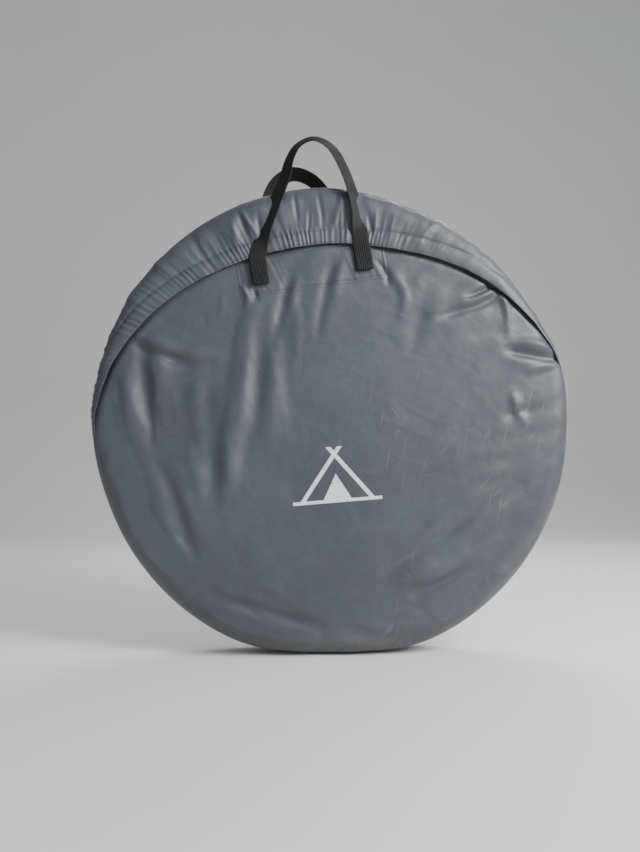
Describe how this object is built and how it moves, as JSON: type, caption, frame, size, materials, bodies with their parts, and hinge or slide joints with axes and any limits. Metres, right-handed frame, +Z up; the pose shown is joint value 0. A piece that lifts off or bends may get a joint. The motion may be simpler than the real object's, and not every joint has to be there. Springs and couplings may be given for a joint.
{
  "type": "pop up tent",
  "caption": "Round carry bag with an elastic hood and two webbing handles, holding a coiled pop up tent that slides out of its mouth.",
  "frame": {"origin": "middle of the flat base that the bag stands on", "axes": "+Z up through the disc's centre, +Y from the front panel to the back panel, +X to the right seen from the front"},
  "size_m": [0.8173, 0.112, 0.8903],
  "materials": {
    "bag_cloth": "slate grey coated polyester, fine weave, soft sheen",
    "hood_cloth": "slate grey coated polyester, gathered at its hem",
    "elastic": "black woven elastic",
    "webbing": "black ribbed polypropylene webbing",
    "glass_fibre": "pale glass fibre rod",
    "steel": "zinc plated steel",
    "sleeve_cloth": "dark polyester tape",
    "flysheet": "folded blue-grey coated polyester",
    "inner_tent": "folded off-white breathable polyester",
    "groundsheet": "folded dark woven polyethylene",
    "strap": "black webbing",
    "buckle": "black moulded acetal",
    "peg_bag_cloth": "dark grey polyester"
  },
  "bodies": {
    "bag": {"bag_front_panel": "bag_cloth", "bag_back_panel": "bag_cloth", "bag_gusset": "bag_cloth", "hood_panel": "hood_cloth", "hood_elastic": "elastic", "front_handle_patch": "bag_cloth", "rear_handle_patch": "bag_cloth", "front_handle_tab_left": "webbing", "front_handle_tab_right": "webbing", "rear_handle_tab_left": "webbing", "rear_handle_tab_right": "webbing"},
    "front_handle": {"front_handle": "webbing"},
    "rear_handle": {"rear_handle": "webbing"},
    "strap_upper": {"strap_upper": "strap", "buckle_clip": "buckle"},
    "tent_pack": {"hoop_a_rod_1": "glass_fibre", "hoop_a_ferrule_1": "steel", "hoop_a_pole_sleeve_1": "sleeve_cloth", "hoop_a_rod_2": "glass_fibre", "hoop_a_ferrule_2": "steel", "hoop_a_pole_sleeve_2": "sleeve_cloth", "hoop_a_rod_3": "glass_fibre", "hoop_a_ferrule_3": "steel", "hoop_a_pole_sleeve_3": "sleeve_cloth", "hoop_b_rod_1": "glass_fibre", "hoop_b_ferrule_1": "steel", "hoop_b_pole_sleeve_1": "sleeve_cloth", "hoop_b_rod_2": "glass_fibre", "hoop_b_ferrule_2": "steel", "hoop_b_pole_sleeve_2": "sleeve_cloth", "hoop_b_rod_3": "glass_fibre", "hoop_b_ferrule_3": "steel", "hoop_b_pole_sleeve_3": "sleeve_cloth", "flysheet_fold": "flysheet", "inner_tent_fold": "inner_tent", "groundsheet_fold": "groundsheet", "strap_lower": "strap", "buckle_body": "buckle", "peg_bag": "peg_bag_cloth", "tent_peg_1": "steel", "tent_peg_2": "steel", "tent_peg_3": "steel", "tent_peg_4": "steel", "tent_peg_5": "steel", "tent_peg_6": "steel"}
  },
  "joints": [
    {"name": "tent_slide", "type": "slide", "parent": "bag", "child": "tent_pack", "axis": [-0.1564, 0, 0.9877], "range_m": [0, 0.95], "deforming": ["hood_panel", "hood_elastic"]},
    {"name": "strap_slide", "type": "slide", "parent": "tent_pack", "child": "strap_upper", "axis": [-0.1564, 0, 0.9877], "range_m": [0, 0.014]},
    {"name": "front_handle_fold", "type": "hinge", "parent": "bag", "child": "front_handle", "pos_m": [-0.0449, -0.05475, 0.67847], "axis": [0.9877, 0, 0.1564], "range_deg": [0, 150]},
    {"name": "rear_handle_fold", "type": "hinge", "parent": "bag", "child": "rear_handle", "pos_m": [-0.0449, 0.05475, 0.67847], "axis": [-0.9877, 0, -0.1564], "range_deg": [0, 150]}
  ]
}
